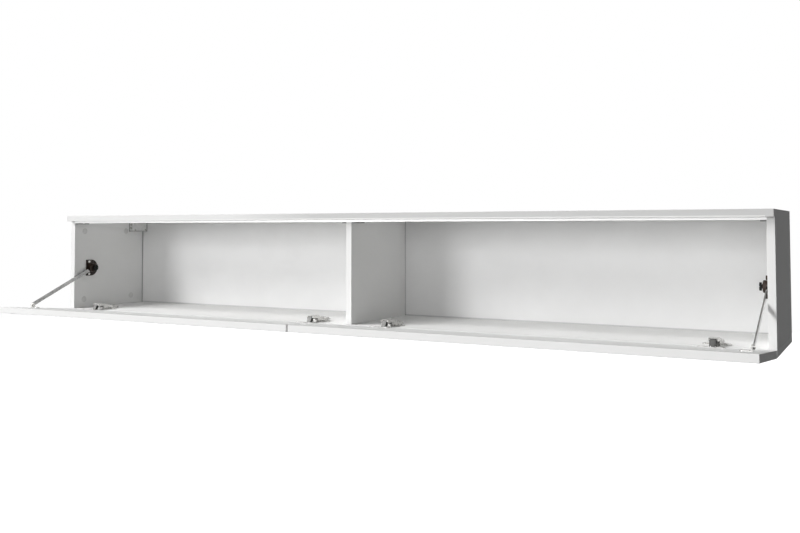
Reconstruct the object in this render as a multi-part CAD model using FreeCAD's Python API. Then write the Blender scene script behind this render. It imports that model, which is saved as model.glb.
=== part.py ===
"""Wall-hung media console: two compartments behind two drop-down flaps. Millimetres.

The model is drawn in the cabinet's own axes: X along its length from the middle, Y from the
front edge of the top board towards the wall, Z up from the underside. At export it is moved so
that the origin is the centre of the wall plates' four screw holes, on the wall's surface.
The flaps are drawn closed and then swung open, because the console is stored with them open.
"""
import FreeCAD, Part
import math
import os

# Carcass
LENGTH = 2000.0
HEIGHT = 296.0
DEPTH = 308.0
BOARD = 16.0
EDGE_ROUND = 0.6
BACK_THICKNESS = 3.0
BACK_GROOVE_DEPTH = 6.0
BACK_TO_WALL = 5.0
GROOVE_CLEARANCE = 0.1
GROOVE_FRONT_GAP = 1.2
PANEL_END_CLEARANCE = 0.3
JOINER_FLANGE = 1.0
JOINER_FLANGE_WIDTH = 18.0
JOINER_WEB = 1.5
TRIM_HEIGHT = 6.0

# Flaps and the line that they swing about
FLAP_BOARD = 16.0
FLAP_HEIGHT = 258.0
FLAP_TO_CARCASS = 2.0
FLAP_SPACING = 5.0
FLAP_END_REVEAL = 0.5
FLAP_ROUND = 1.0
AXIS_Y = 6.0
AXIS_Z = 6.0
FLAP_OPENING = 84.6

# Board joints: cam, bolt and dowel
CAM_RADIUS = 7.5
CAM_DEPTH = 12.5
CAM_HEIGHT = 11.5
CAM_CROSS_DEPTH = 1.5
CAM_COVER_RADIUS = 9.0
CAM_COVER_THICKNESS = 0.8
CAM_COVER_PLUG = 0.7
BOLT_HOLE_RADIUS = 4.0
BOLT_HEAD_RADIUS = 3.2
BOLT_HEAD_LENGTH = 3.0
BOLT_NECK_RADIUS = 2.0
BOLT_SHANK_RADIUS = 3.5
BOLT_THREAD_RADIUS = 2.5
BOLT_THREAD_LENGTH = 11.0
BOLT_NECK_LENGTH = 8.0
TOP_CAM_DROP = 30.0
BOTTOM_CAM_RISE = 25.0
FRONT_CAM_SETBACK = 38.0
TOP_REAR_CAM_TO_HANGER = 13.0
BOTTOM_REAR_CAM_TO_BACK = 50.0
DOWEL_RADIUS = 4.0
DOWEL_LENGTH = 30.0
DOWEL_IN_COVER_BOARD = 10.0
DOWEL_FROM_CAM = 32.0

# Corner connector blocks behind the front trim
BLOCK_WIDTH = 12.0
BLOCK_LENGTH = 43.0
BLOCK_HEIGHT = 9.0
BLOCK_SETBACK = 1.0
BLOCK_SIDE_SCREW = 22.0
BLOCK_TOP_SCREW = 34.0
BLOCK_SCREW_RADIUS = 1.75
BLOCK_SCREW_HEAD = 3.5
BLOCK_SCREW_BITE = 6.0

# Screws: shares of a head's radius or height, and the radius that a point ends in
RAISED_HEAD_TOP = 0.65
RECESS_REACH = 0.6
RECESS_HALF_WIDTH = 0.14
RECESS_DEPTH = 0.8
SCREW_TIP_RADIUS = 0.3

# Hangers and wall plates
HANGER_WIDTH = 20.0
HANGER_LENGTH = 61.0
HANGER_HEIGHT = 32.0
HANGER_WALL = 2.0
HANGER_ROUND = 1.5
HOOK_THICKNESS = 3.0
HOOK_OFFSET = 9.0
HOOK_FLANK = 20.0
HOOK_ARM = 7.0
HOOK_TOOTH = 2.0
HOOK_TOOTH_DROP = 6.5
HOOK_BODY_LENGTH = 46.0
HOOK_ARM_BELOW_TOP = 3.0
HOOK_CLEARANCE = 0.2
BACK_NOTCH_MARGIN = 5.0
ADJUSTER_RADIUS = 4.0
ADJUSTER_HEAD = 1.5
ADJUSTER_STEM_RADIUS = 2.0
ADJUSTER_SPACING = 11.0
ADJUSTER_FROM_TOP = 9.5
HANGER_SCREW_RADIUS = 2.0
HANGER_SCREW_HEAD = 4.0
HANGER_SCREW_INSET = 8.0
HANGER_SCREW_RISE = 5.0
HANGER_SCREW_BITE = 11.0
WALL_PLATE_THICKNESS = 1.5
WALL_PLATE_WIDTH = 50.0
WALL_PLATE_TO_SIDE = 2.0
WALL_PLATE_HEIGHT = 48.0
WALL_PLATE_LIP = 7.0
WALL_PLATE_JOGGLE = 3.0
WALL_PLATE_BEND = 4.0
WALL_HOLE_RADIUS = 3.25
WALL_HOLE_SPACING = 25.0
WALL_HOLE_FROM_BOTTOM = 6.0
WALL_HOLE_FROM_EDGE = 30.0

# Concealed hinges
HINGE_INNER_INSET = 107.5
HINGE_OUTER_INSET = 119.5
CUP_RADIUS = 17.5
CUP_DEPTH = 11.5
CUP_WALL = 1.0
CUP_EDGE_DISTANCE = 4.0
CUP_BORE_CLEARANCE = 0.1
CUP_FLANGE = 1.2
CUP_FLANGE_MARGIN = 1.5
CUP_NOTCH_HALF_WIDTH = 9.0
CUP_NOTCH_HEIGHT = 9.0
CUP_NOTCH_FLOOR = 3.0
CUP_SCREW_SPACING = 45.0
CUP_SCREW_OFFSET = 9.5
CUP_EAR_RADIUS = 5.5
CUP_SCREW_RADIUS = 1.75
CUP_SCREW_HEAD = 3.5
CUP_SCREW_HEAD_HEIGHT = 0.8
CUP_SCREW_BITE = 10.0
PIN_RADIUS = 0.9
PIN_CLEARANCE = 0.05
OUTER_ARM_PIVOT_Y = 12.5
OUTER_ARM_PIVOT_Z = 31.0
OUTER_CUP_PIVOT_RADIUS = 6.5
INNER_ARM_PIVOT_Y = 8.7
INNER_ARM_PIVOT_Z = 30.3
INNER_CUP_PIVOT_RADIUS = 9.0
OUTER_SLOT_CLEARANCE = 0.4
INNER_SLOT_CLEARANCE = 0.7
SLOT_END_CLEARANCE = 0.2
LINK_EDGE = 0.6
LINK_WEB_HALF_THICKNESS = 0.5
LINK_WEB_START = 3.0
LINK_WEB_END = 6.5
INNER_LINK_HALF_WIDTH = 5.6
INNER_LINK_NECK_HALF_WIDTH = 3.5
INNER_LINK_NECK = 7.5
INNER_LINK_SHOULDER_RADIUS = 3.0
OUTER_LINK_HALF_WIDTH = 7.6
OUTER_LINK_CHEEK = 1.5
STUD_INNER = 5.8
LUG_INNER = 3.9
LUG_OUTER = 5.4
LUG_MARGIN = 1.0
ARM_HALF_WIDTH = 9.2
ARM_STEEL = 1.2
ARM_NOSE_MARGIN = 1.0
ARM_LENGTH = 90.0
ARM_FRONT_HEIGHT = 34.2
ARM_REAR_HEIGHT = 24.8
ARM_CROWN_END = 28.0
ARM_FLAT = 10.0
ARM_TAIL = 10.0
ARM_THROAT_HEIGHT = 26.5
ARM_HEEL = 31.0
PLATE_THICKNESS = 2.0
PLATE_HALF_WIDTH = 29.0
PLATE_WING_LENGTH = 17.0
PLATE_BORE_SETBACK = 37.0
PLATE_SCREW_SPACING = 32.0
PLATE_SCREW_RADIUS = 2.2
PLATE_SCREW_HEAD = 4.0
PLATE_SCREW_HEAD_HEIGHT = 1.0
PLATE_SCREW_BITE = 11.0
RIDGE_HALF_WIDTH = 7.4
RIDGE_FRONT = 12.0
ARM_SCREW_RADIUS = 3.0
ARM_SCREW_BORE = 2.2
ARM_SCREW_FIRST = 24.0
ARM_SCREW_TO_TAIL = 5.0
ARM_SCREW_DEPTH = 5.5

# Flap stays with their adjustable brakes
STAY_PLATE_THICKNESS = 2.0
STAY_PLATE_FRONT = 62.0
STAY_PLATE_HEIGHT = 49.0
STAY_PLATE_SHOULDER = 20.0
STAY_BOSS_RADIUS = 4.7
STAY_BOSS_HEIGHT = 6.5
STAY_SCREW_INSET = 5.5
STAY_SCREW_SETBACK = 5.4
STAY_SCREW_RADIUS = 2.0
STAY_SCREW_HEAD = 3.6
STAY_SCREW_BITE = 11.0
BRAKE_Y = 82.0
BRAKE_Z = 137.0
BRAKE_RADIUS = 13.2
BRAKE_WIDTH = 13.6
BRAKE_RUNNING_GAP = 0.2
BRAKE_BEVEL = 1.2
BRAKE_SPIGOT_RADIUS = 5.0
BRAKE_SPIGOT_LENGTH = 2.9
KNOB_RADIUS = 8.75
KNOB_WIDTH = 4.0
KNOB_NECK_RADIUS = 4.5
KNOB_STANDOFF = 2.8
KNOB_STEM_RADIUS = 3.0
KNOB_STEM_LENGTH = 3.5
KNOB_SLOT_WIDTH = 1.6
KNOB_SLOT_DEPTH = 1.2
KNOB_GRIPS = 10
KNOB_GRIP_RADIUS = 1.3
BAR_THICKNESS = 3.0
BAR_WIDTH = 10.0
BAR_TAIL = 16.0
BAR_TO_PLATE = 3.5
BAR_SIDE_CLEARANCE = 0.3
BAR_WANDER = 0.95
BAR_EDGE_CLEARANCE = 0.3
FOOT_HEIGHT = 152.5
FOOT_STANDOFF = 9.3
FOOT_PIN_RADIUS = 2.5
FOOT_PIN_HEAD_RADIUS = 4.0
FOOT_PIN_HEAD = 1.2
FOOT_STEEL = 2.0
FOOT_WIDTH = 24.0
FOOT_HALF_LENGTH = 7.5
FOOT_ROUND = 6.0
FOOT_SCREW_RADIUS = 2.0
FOOT_SCREW_HEAD = 3.6
FOOT_SCREW_HEAD_HEIGHT = 1.2
FOOT_SCREW_BITE = 11.0
FOOT_SCREW_INSET = 5.5
FOOT_SCREW_SPACING = 11.0

# Places that follow from the sizes above
HALF = LENGTH / 2
CARCASS_FRONT = FLAP_BOARD + FLAP_TO_CARCASS
SIDE_INNER = HALF - BOARD
SIDE_MIDDLE = HALF - BOARD / 2
CELL_BOTTOM = BOARD
CELL_TOP = HEIGHT - BOARD
BACK_FACE = DEPTH - BACK_TO_WALL
BACK_FRONT = BACK_FACE - BACK_THICKNESS
DIVIDER_REAR = BACK_FRONT - JOINER_FLANGE
TOP_CAM_Z = CELL_TOP - TOP_CAM_DROP
BOTTOM_CAM_Z = CELL_BOTTOM + BOTTOM_CAM_RISE
FRONT_CAM_Y = CARCASS_FRONT + FRONT_CAM_SETBACK
FLAP_START = FLAP_SPACING / 2
FLAP_END = HALF - FLAP_END_REVEAL
HINGE_PLACES = (FLAP_START + HINGE_INNER_INSET, FLAP_END - HINGE_OUTER_INSET)
CUP_Z = CUP_EDGE_DISTANCE + CUP_RADIUS
CUP_INNER_RADIUS = CUP_RADIUS - CUP_BORE_CLEARANCE - CUP_WALL
CUP_FLOOR_Y = FLAP_BOARD - CUP_DEPTH
CUP_SCREW_Z = CUP_Z + CUP_SCREW_OFFSET
CUP_FLANGE_FACE = FLAP_BOARD + CUP_FLANGE
PLATE_FACE = CELL_BOTTOM + PLATE_THICKNESS
PLATE_BORE_Y = CARCASS_FRONT + PLATE_BORE_SETBACK
ARM_TAIL_START = ARM_LENGTH - ARM_TAIL
ARM_SLOPE_END = ARM_TAIL_START - ARM_FLAT
ARM_SCREW_SECOND = ARM_TAIL_START - ARM_SCREW_TO_TAIL
RIDGE_REAR = ARM_TAIL_START
HANGER_INNER = SIDE_INNER - HANGER_WIDTH
HANGER_FRONT = BACK_FRONT - HANGER_LENGTH
TOP_REAR_CAM_Y = HANGER_FRONT - TOP_REAR_CAM_TO_HANGER
BOTTOM_REAR_CAM_Y = BACK_FRONT - BOTTOM_REAR_CAM_TO_BACK
HANGER_BOTTOM = CELL_TOP - HANGER_HEIGHT
HOOK_INNER = SIDE_INNER - HOOK_OFFSET - HOOK_THICKNESS
HOOK_TOP = CELL_TOP - HOOK_ARM_BELOW_TOP
LIP_TOP = HOOK_TOP - HOOK_ARM
WALL_PLATE_BOTTOM = LIP_TOP - WALL_PLATE_HEIGHT
WALL_PLATE_OUTER = SIDE_INNER - WALL_PLATE_TO_SIDE
WALL_PLATE_INNER = WALL_PLATE_OUTER - WALL_PLATE_WIDTH
WALL_HOLE_X = WALL_PLATE_OUTER - WALL_HOLE_FROM_EDGE
LOWER_WALL_HOLE_Z = WALL_PLATE_BOTTOM + WALL_HOLE_FROM_BOTTOM
WALL_HOLES_MIDDLE_Z = LOWER_WALL_HOLE_Z + WALL_HOLE_SPACING / 2
STAY_PLATE_FACE = SIDE_INNER - STAY_PLATE_THICKNESS
BRAKE_OUTER = STAY_PLATE_FACE - BRAKE_RUNNING_GAP
BRAKE_INNER = BRAKE_OUTER - BRAKE_WIDTH
KNOB_OUTER = BRAKE_INNER - BRAKE_RUNNING_GAP
BAR_OUTER = STAY_PLATE_FACE - BAR_TO_PLATE
BAR_INNER = BAR_OUTER - BAR_THICKNESS
FOOT_Y = FLAP_BOARD + FOOT_STANDOFF
FOOT_EAR_OUTER = BAR_INNER - BAR_SIDE_CLEARANCE
FOOT_EAR_INNER = FOOT_EAR_OUTER - FOOT_STEEL
ORIGIN = FreeCAD.Vector(0, DEPTH, WALL_HOLES_MIDDLE_Z)
ALONG_X = FreeCAD.Vector(1, 0, 0)
ALONG_Y = FreeCAD.Vector(0, 1, 0)
ALONG_Z = FreeCAD.Vector(0, 0, 1)


def point(x, y, z):
    return FreeCAD.Vector(x, y, z)


def block(x0, x1, y0, y1, z0, z1):
    return Part.makeBox(x1 - x0, y1 - y0, z1 - z0, point(x0, y0, z0))


def rod(radius, start, direction, length):
    return Part.makeCylinder(radius, length, start, direction)


def cone(radius0, radius1, start, direction, length):
    return Part.makeCone(radius0, radius1, length, start, direction)


def outline_along_x(corners, x0, x1):
    """A solid whose section in the YZ plane has these corners."""
    wire = Part.makePolygon([point(x0, y, z) for y, z in corners + corners[:1]])
    return Part.Face(wire).extrude(point(x1 - x0, 0, 0))


def stadium_along_x(start, end, radius, x0, x1):
    """A bar with round ends from one YZ place to another, between two X places."""
    (y0, z0), (y1, z1) = start, end
    length = math.hypot(y1 - y0, z1 - z0)
    flat = Part.makeBox(x1 - x0, length, 2 * radius, point(x0, y0, z0 - radius))
    angle = math.degrees(math.atan2(z1 - z0, y1 - y0))
    flat.rotate(point(x0, y0, z0), ALONG_X, angle)
    ends = [rod(radius, point(x0, y, z), ALONG_X, x1 - x0) for y, z in (start, end)]
    return flat.multiFuse(ends).removeSplitter()


def cut_all(shape, tools):
    return shape.cut(Part.Compound(tools)) if tools else shape


def rounded(shape, radius, keep=None):
    """Round every edge, or only those whose box passes the test."""
    edges = [edge for edge in shape.Edges if keep is None or keep(edge.BoundBox)]
    return shape.makeFillet(radius, edges)


def mirrored(shape):
    return shape.mirror(point(0, 0, 0), ALONG_X)


def both_sides(shape):
    return [shape, mirrored(shape)]


def moved_along_x(shape, distance):
    copy = shape.copy()
    copy.translate(point(distance, 0, 0))
    return copy


def swung(place, degrees):
    """A YZ place after the flap has turned by this angle from closed."""
    angle = math.radians(degrees)
    y = place[0] - AXIS_Y
    z = place[1] - AXIS_Z
    turned_y = AXIS_Y + y * math.cos(angle) - z * math.sin(angle)
    turned_z = AXIS_Z + y * math.sin(angle) + z * math.cos(angle)
    return turned_y, turned_z


def opened(shape):
    """A shape drawn on the closed flap, as it lies on the open one."""
    copy = shape.copy()
    copy.rotate(point(0, AXIS_Y, AXIS_Z), ALONG_X, FLAP_OPENING)
    return copy


# ---------------------------------------------------------------- screws

def cross_recess(middle, inward, head_radius, depth):
    """A cross-shaped driver recess, sunk from the middle of a head's top."""
    reach = head_radius * RECESS_REACH
    half = head_radius * RECESS_HALF_WIDTH
    bar = block(-reach, reach, -half, half, 0, depth)
    cross = bar.fuse(block(-half, half, -reach, reach, 0, depth)).removeSplitter()
    cross.Placement = FreeCAD.Placement(middle, FreeCAD.Rotation(ALONG_Z, inward))
    return cross


def pointed_shank(seat, inward, radius, length):
    """A shank whose point is as long as the shank is thick."""
    straight = length - 2 * radius
    tip = cone(radius, SCREW_TIP_RADIUS, seat + inward * straight, inward, 2 * radius)
    return rod(radius, seat, inward, straight).fuse(tip)


def raised_screw(seat, inward, radius, head_radius, head_height, length, recessed):
    """A screw whose low conical head stands on its seat."""
    top_radius = head_radius * RAISED_HEAD_TOP
    head = cone(head_radius, top_radius, seat, inward * -1, head_height)
    screw = pointed_shank(seat, inward, radius, length).fuse(head).removeSplitter()
    if recessed:
        screw = screw.cut(cross_recess(seat - inward * head_height, inward, top_radius,
                                       head_height * RECESS_DEPTH))
    return screw


def countersunk_screw(start, inward, radius, head_radius, length, recessed):
    """A flat-headed screw: a cone that narrows over its own depth, then a shank."""
    depth = head_radius - radius
    head = cone(head_radius, radius, start, inward, depth)
    screw = pointed_shank(start, inward, radius, length).fuse(head).removeSplitter()
    if recessed:
        screw = screw.cut(cross_recess(start, inward, head_radius, depth * RECESS_DEPTH))
    return screw


# ---------------------------------------------------------------- board joints

def upright_middles():
    return (-SIDE_MIDDLE, 0.0, SIDE_MIDDLE)


def cam_places():
    """Y, Z and the direction from each cam to the board that its bolt holds."""
    return (
        (FRONT_CAM_Y, TOP_CAM_Z, 1),
        (TOP_REAR_CAM_Y, TOP_CAM_Z, 1),
        (FRONT_CAM_Y, BOTTOM_CAM_Z, -1),
        (BOTTOM_REAR_CAM_Y, BOTTOM_CAM_Z, -1),
    )


def dowel_places():
    return (
        (FRONT_CAM_Y + DOWEL_FROM_CAM, 1),
        (TOP_REAR_CAM_Y - DOWEL_FROM_CAM, 1),
        (FRONT_CAM_Y + DOWEL_FROM_CAM, -1),
        (BOTTOM_REAR_CAM_Y - DOWEL_FROM_CAM, -1),
    )


def cam_face(middle):
    """X of the face that a cam opens to, and the direction into the board."""
    inward = 1.0 if middle > 0 else -1.0
    if middle == 0:
        return -BOARD / 2, 1.0
    return middle - inward * BOARD / 2, inward


def joint_face(way):
    return CELL_TOP if way > 0 else CELL_BOTTOM


def bolt_length(way):
    return TOP_CAM_DROP if way > 0 else BOTTOM_CAM_RISE


def cam_lock(middle, y, z, way):
    """A slotted cam with a cross in its face, set with the bolt's head inside it."""
    face, inward = cam_face(middle)
    start = point(face + inward * (CAM_DEPTH - CAM_HEIGHT), y, z)
    direction = ALONG_X * inward
    cam = rod(CAM_RADIUS, start, direction, CAM_HEIGHT)
    head = rod(BOLT_HOLE_RADIUS, point(middle, y, z - way * CAM_RADIUS / 2),
               ALONG_Z * way, 2 * CAM_RADIUS)
    return cut_all(cam, [head, cross_recess(start, direction, CAM_RADIUS, CAM_CROSS_DEPTH)])


def cam_bolt(middle, y, z, way):
    direction = ALONG_Z * way
    neck_start = z + way * BOLT_HEAD_LENGTH / 2
    shank_start = neck_start + way * BOLT_NECK_LENGTH
    length = abs(joint_face(way) - shank_start)
    head = rod(BOLT_HEAD_RADIUS, point(middle, y, z - way * BOLT_HEAD_LENGTH / 2),
               direction, BOLT_HEAD_LENGTH)
    neck = rod(BOLT_NECK_RADIUS, point(middle, y, neck_start), direction, BOLT_NECK_LENGTH)
    shank = rod(BOLT_SHANK_RADIUS, point(middle, y, shank_start), direction, length)
    thread = rod(BOLT_THREAD_RADIUS, point(middle, y, joint_face(way)), direction,
                 BOLT_THREAD_LENGTH)
    return head.multiFuse([neck, shank, thread]).removeSplitter()


def cam_cover(middle, y, z, way):
    """A thin cap on the board's face with a short plug in the cam's hole."""
    face, inward = cam_face(middle)
    outside = point(face - inward * CAM_COVER_THICKNESS, y, z)
    cap = rod(CAM_COVER_RADIUS, outside, ALONG_X * inward, CAM_COVER_THICKNESS)
    plug = rod(CAM_RADIUS, point(face, y, z), ALONG_X * inward, CAM_COVER_PLUG)
    return cap.fuse(plug).removeSplitter()


def dowel(middle, y, way):
    start = joint_face(way) + way * DOWEL_IN_COVER_BOARD
    return rod(DOWEL_RADIUS, point(middle, y, start), ALONG_Z * -way, DOWEL_LENGTH)


def for_each_cam(make):
    return [make(x, y, z, way) for x in upright_middles() for y, z, way in cam_places()]


def upright_holes(middle):
    """Everything drilled into one upright board for its cams, bolts and dowels."""
    face, inward = cam_face(middle)
    holes = []
    for y, z, way in cam_places():
        holes.append(rod(CAM_RADIUS, point(face, y, z), ALONG_X * inward, CAM_DEPTH))
        holes.append(rod(BOLT_HOLE_RADIUS, point(middle, y, z), ALONG_Z * way, bolt_length(way)))
    return holes + [dowel(middle, y, way) for y, way in dowel_places()]


def cover_board_holes(side):
    """Everything drilled into the top board (side 1) or the bottom board (side -1)."""
    holes = []
    for middle in upright_middles():
        for y, z, way in cam_places():
            if way == side:
                holes.append(rod(BOLT_THREAD_RADIUS, point(middle, y, joint_face(way)),
                                 ALONG_Z * way, BOLT_THREAD_LENGTH))
        holes += [dowel(middle, y, way) for y, way in dowel_places() if way == side]
    return holes


# ---------------------------------------------------------------- carcass boards

def back_groove():
    """The space that the back panels' groove takes out of the boards around them."""
    reach = BACK_GROOVE_DEPTH
    return block(-SIDE_INNER - reach, SIDE_INNER + reach, BACK_FRONT - GROOVE_FRONT_GAP,
                 BACK_FACE + GROOVE_CLEARANCE, CELL_BOTTOM - reach, CELL_TOP + reach)


def top_panel():
    board = block(-HALF, HALF, 0, DEPTH, CELL_TOP, HEIGHT)
    board = rounded(board, EDGE_ROUND)
    return cut_all(board, [back_groove()] + cover_board_holes(1) + block_top_screws())


def bottom_panel():
    board = block(-HALF, HALF, CARCASS_FRONT, DEPTH, 0, CELL_BOTTOM)
    board = rounded(board, EDGE_ROUND)
    return cut_all(board, [back_groove()] + cover_board_holes(-1) + hinge_plate_screws())


def side_panel():
    """The right-hand one."""
    board = block(SIDE_INNER, HALF, CARCASS_FRONT, DEPTH, CELL_BOTTOM, CELL_TOP)
    board = rounded(board, EDGE_ROUND)
    screws = hanger_screws()[:2] + stay_screws()[:2] + block_side_screws()[:1]
    return cut_all(board, [back_groove()] + upright_holes(SIDE_MIDDLE) + screws)


def divider_panel():
    """The right trim strip runs past its front edge, so its top front corner is notched."""
    board = block(-BOARD / 2, BOARD / 2, CARCASS_FRONT, DIVIDER_REAR, CELL_BOTTOM, CELL_TOP)
    notch = block(-BOARD, BOARD, 0, CARCASS_FRONT + BOARD, CELL_TOP - TRIM_HEIGHT, HEIGHT)
    board = rounded(board, EDGE_ROUND, lambda box: box.YMax < CARCASS_FRONT + EDGE_ROUND)
    return cut_all(board, [notch] + upright_holes(0.0) + block_side_screws()[2:])


def back_panel():
    """The right-hand one, notched at its top corner for the hanger's hook."""
    inner = JOINER_WEB / 2 + PANEL_END_CLEARANCE
    reach = BACK_GROOVE_DEPTH - PANEL_END_CLEARANCE
    sheet = block(inner, SIDE_INNER + reach, BACK_FRONT, BACK_FACE,
                  CELL_BOTTOM - reach, CELL_TOP + reach)
    notch = block(HOOK_INNER - BACK_NOTCH_MARGIN, SIDE_INNER - HOOK_OFFSET + BACK_NOTCH_MARGIN,
                  HANGER_FRONT, DEPTH, LIP_TOP - BACK_NOTCH_MARGIN, HEIGHT)
    return sheet.cut(notch)


def back_panel_joiner():
    """An H-section strip that holds both back panels behind the divider."""
    half = JOINER_FLANGE_WIDTH / 2
    web = block(-JOINER_WEB / 2, JOINER_WEB / 2, BACK_FRONT, BACK_FACE, CELL_BOTTOM, CELL_TOP)
    front = block(-half, half, DIVIDER_REAR, BACK_FRONT, CELL_BOTTOM, CELL_TOP)
    rear = block(-half, half, BACK_FACE, BACK_FACE + JOINER_FLANGE, CELL_BOTTOM, CELL_TOP)
    return web.multiFuse([front, rear]).removeSplitter()


def front_trim(x0, x1):
    """A strip under the top board that leaves the fingers a gap above the closed flap."""
    strip = block(x0, x1, CARCASS_FRONT, CARCASS_FRONT + BOARD, CELL_TOP - TRIM_HEIGHT, CELL_TOP)
    low_front = CELL_TOP - TRIM_HEIGHT + EDGE_ROUND
    return rounded(strip, EDGE_ROUND,
                   lambda box: box.ZMax < low_front and box.YMax < CARCASS_FRONT + EDGE_ROUND)


# ---------------------------------------------------------------- corner blocks

def block_front():
    return CARCASS_FRONT + BLOCK_SETBACK


def corner_block():
    """For a wall whose inner face is at X = 0 and whose cell lies towards +X."""
    front = block_front()
    trim_rear = CARCASS_FRONT + BOARD
    body = block(0, BLOCK_WIDTH, front, front + BLOCK_LENGTH, CELL_TOP - BLOCK_HEIGHT, CELL_TOP)
    body = rounded(body, EDGE_ROUND, lambda box: box.ZMax < CELL_TOP - BLOCK_HEIGHT + EDGE_ROUND
                   and box.XMin > EDGE_ROUND)
    step = block(-1, BLOCK_WIDTH + 1, 0, trim_rear, CELL_TOP - TRIM_HEIGHT, HEIGHT)
    return cut_all(body, [step, block_side_screw(), block_top_screw()])


def block_side_screw(recessed=False):
    middle = point(BLOCK_WIDTH, block_front() + BLOCK_SIDE_SCREW, CELL_TOP - BLOCK_HEIGHT / 2)
    return countersunk_screw(middle, ALONG_X * -1, BLOCK_SCREW_RADIUS, BLOCK_SCREW_HEAD,
                             BLOCK_WIDTH + BLOCK_SCREW_BITE, recessed)


def block_top_screw(recessed=False):
    middle = point(BLOCK_WIDTH / 2, block_front() + BLOCK_TOP_SCREW, CELL_TOP - BLOCK_HEIGHT)
    return countersunk_screw(middle, ALONG_Z, BLOCK_SCREW_RADIUS, BLOCK_SCREW_HEAD,
                             BLOCK_HEIGHT + BLOCK_SCREW_BITE, recessed)


def at_cell_corners(shape):
    """Copies at the right side, the left side, and the divider's right and left faces."""
    outer = mirrored(moved_along_x(shape, -SIDE_INNER))
    inner = moved_along_x(shape, BOARD / 2)
    return both_sides(outer) + both_sides(inner)


def block_side_screws(recessed=False):
    return at_cell_corners(block_side_screw(recessed))


def block_top_screws(recessed=False):
    return at_cell_corners(block_top_screw(recessed))


# ---------------------------------------------------------------- hangers

def hanger_screws(recessed=False):
    """Right-hand pair, then the left-hand pair."""
    z = HANGER_BOTTOM + HANGER_SCREW_RISE
    right = []
    for y in (HANGER_FRONT + HANGER_SCREW_INSET, BACK_FRONT - HANGER_SCREW_INSET):
        right.append(countersunk_screw(point(HANGER_INNER, y, z), ALONG_X, HANGER_SCREW_RADIUS,
                                       HANGER_SCREW_HEAD, HANGER_WIDTH + HANGER_SCREW_BITE,
                                       recessed))
    return right + [mirrored(screw) for screw in right]


def adjuster(z):
    """A cross-slotted screw in the hanger's front face."""
    x = (HANGER_INNER + SIDE_INNER) / 2
    head = rod(ADJUSTER_RADIUS, point(x, HANGER_FRONT - ADJUSTER_HEAD, z), ALONG_Y, ADJUSTER_HEAD)
    stem = rod(ADJUSTER_STEM_RADIUS, point(x, HANGER_FRONT, z), ALONG_Y,
               hook_rear_start() - HANGER_FRONT)
    recess = cross_recess(point(x, HANGER_FRONT - ADJUSTER_HEAD, z), ALONG_Y, ADJUSTER_RADIUS,
                          ADJUSTER_HEAD * RECESS_DEPTH)
    return head.fuse(stem).removeSplitter().cut(recess)


def adjusters():
    upper = CELL_TOP - ADJUSTER_FROM_TOP
    return [adjuster(upper), adjuster(upper - ADJUSTER_SPACING)]


def hook_rear_start():
    return BACK_FRONT - HOOK_BODY_LENGTH


def hanger_housing():
    """The right-hand box: open to the side panel and to the back."""
    outer = block(HANGER_INNER, SIDE_INNER, HANGER_FRONT, BACK_FRONT, HANGER_BOTTOM, CELL_TOP)
    outer = rounded(outer, HANGER_ROUND, lambda box: box.XMax < HANGER_INNER + EDGE_ROUND
                    and box.YMax < HANGER_FRONT + EDGE_ROUND)
    outer = rounded(outer, EDGE_ROUND, lambda box: box.XMax < HANGER_INNER + EDGE_ROUND
                    and box.ZMax < HANGER_BOTTOM + EDGE_ROUND)
    cavity = block(HANGER_INNER + HANGER_WALL, SIDE_INNER, HANGER_FRONT + HANGER_WALL,
                   BACK_FRONT, HANGER_BOTTOM + HANGER_WALL, CELL_TOP - HANGER_WALL)
    shell = outer.cut(cavity)
    bosses = []
    for screw in hanger_screws()[:2]:
        middle = screw.BoundBox.Center
        bosses.append(rod(HANGER_SCREW_HEAD, point(HANGER_INNER + HANGER_WALL, middle.y, middle.z),
                          ALONG_X, HANGER_WIDTH - HANGER_WALL))
    shell = shell.multiFuse([boss.common(outer) for boss in bosses]).removeSplitter()
    return cut_all(shell, hanger_screws()[:2] + adjusters() + [hanger_hook()])


def hanger_hook():
    """A flat steel hook whose arm passes the back panel and drops behind the plate's lip."""
    tooth_rear = wall_lip_rear() + HOOK_CLEARANCE + HOOK_TOOTH
    corners = [
        (hook_rear_start(), HOOK_TOP - HOOK_FLANK),
        (hook_rear_start(), HOOK_TOP),
        (tooth_rear, HOOK_TOP),
        (tooth_rear, LIP_TOP - HOOK_TOOTH_DROP),
        (wall_lip_rear() + HOOK_CLEARANCE, LIP_TOP - HOOK_TOOTH_DROP),
        (wall_lip_rear() + HOOK_CLEARANCE, LIP_TOP),
        (BACK_FRONT - 2 * HANGER_WALL, LIP_TOP),
        (BACK_FRONT - 2 * HANGER_WALL, HOOK_TOP - HOOK_FLANK),
    ]
    hook = outline_along_x(corners, HOOK_INNER, HOOK_INNER + HOOK_THICKNESS)
    return cut_all(hook, hanger_screws()[:2] + adjusters())


def wall_lip_rear():
    return DEPTH - WALL_PLATE_JOGGLE


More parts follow.
